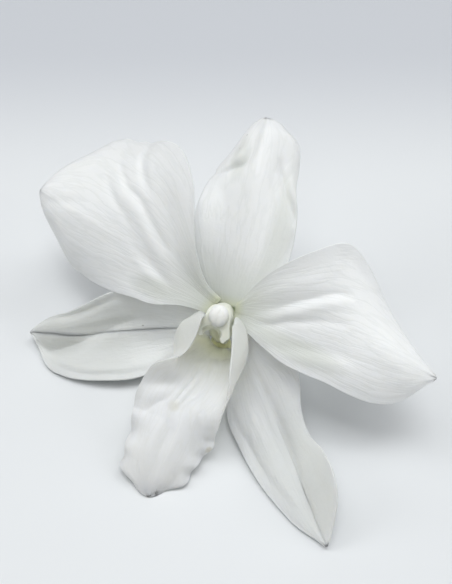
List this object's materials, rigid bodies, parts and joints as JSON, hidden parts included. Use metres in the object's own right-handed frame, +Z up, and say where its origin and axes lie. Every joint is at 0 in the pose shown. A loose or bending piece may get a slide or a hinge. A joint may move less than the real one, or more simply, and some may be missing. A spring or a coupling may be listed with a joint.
{
  "type": "dendrobium orchid bloom",
  "caption": "Single cut orchid bloom lying face up, with spreading sepals and petals, a rolled lip with a waved tip, a capped column and a short curved stalk.",
  "frame": {"origin": "middle of the bloom's bounding box, on the surface it lies on", "axes": "+X across the bloom along its widest spread; +Z up from the surface; the face looks up and towards -Y, and the stalk trails towards +Y"},
  "size_m": [0.0808, 0.0612, 0.0357],
  "materials": {
    "petals": "satin",
    "sepals": "satin",
    "lip": "satin",
    "column": "satin",
    "cap": "satin",
    "pollen": "satin",
    "stalk": "satin"
  },
  "bodies": {
    "root": {"pedicel": "stalk", "column": "column", "anther_cap": "cap", "mentum": "stalk", "pollinium_left": "pollen", "pollinium_right": "pollen", "dorsal_sepal": "sepals", "petal_left": "petals", "petal_right": "petals", "lateral_sepal_left": "sepals", "lateral_sepal_right": "sepals", "lip": "lip"}
  },
  "joints": []
}
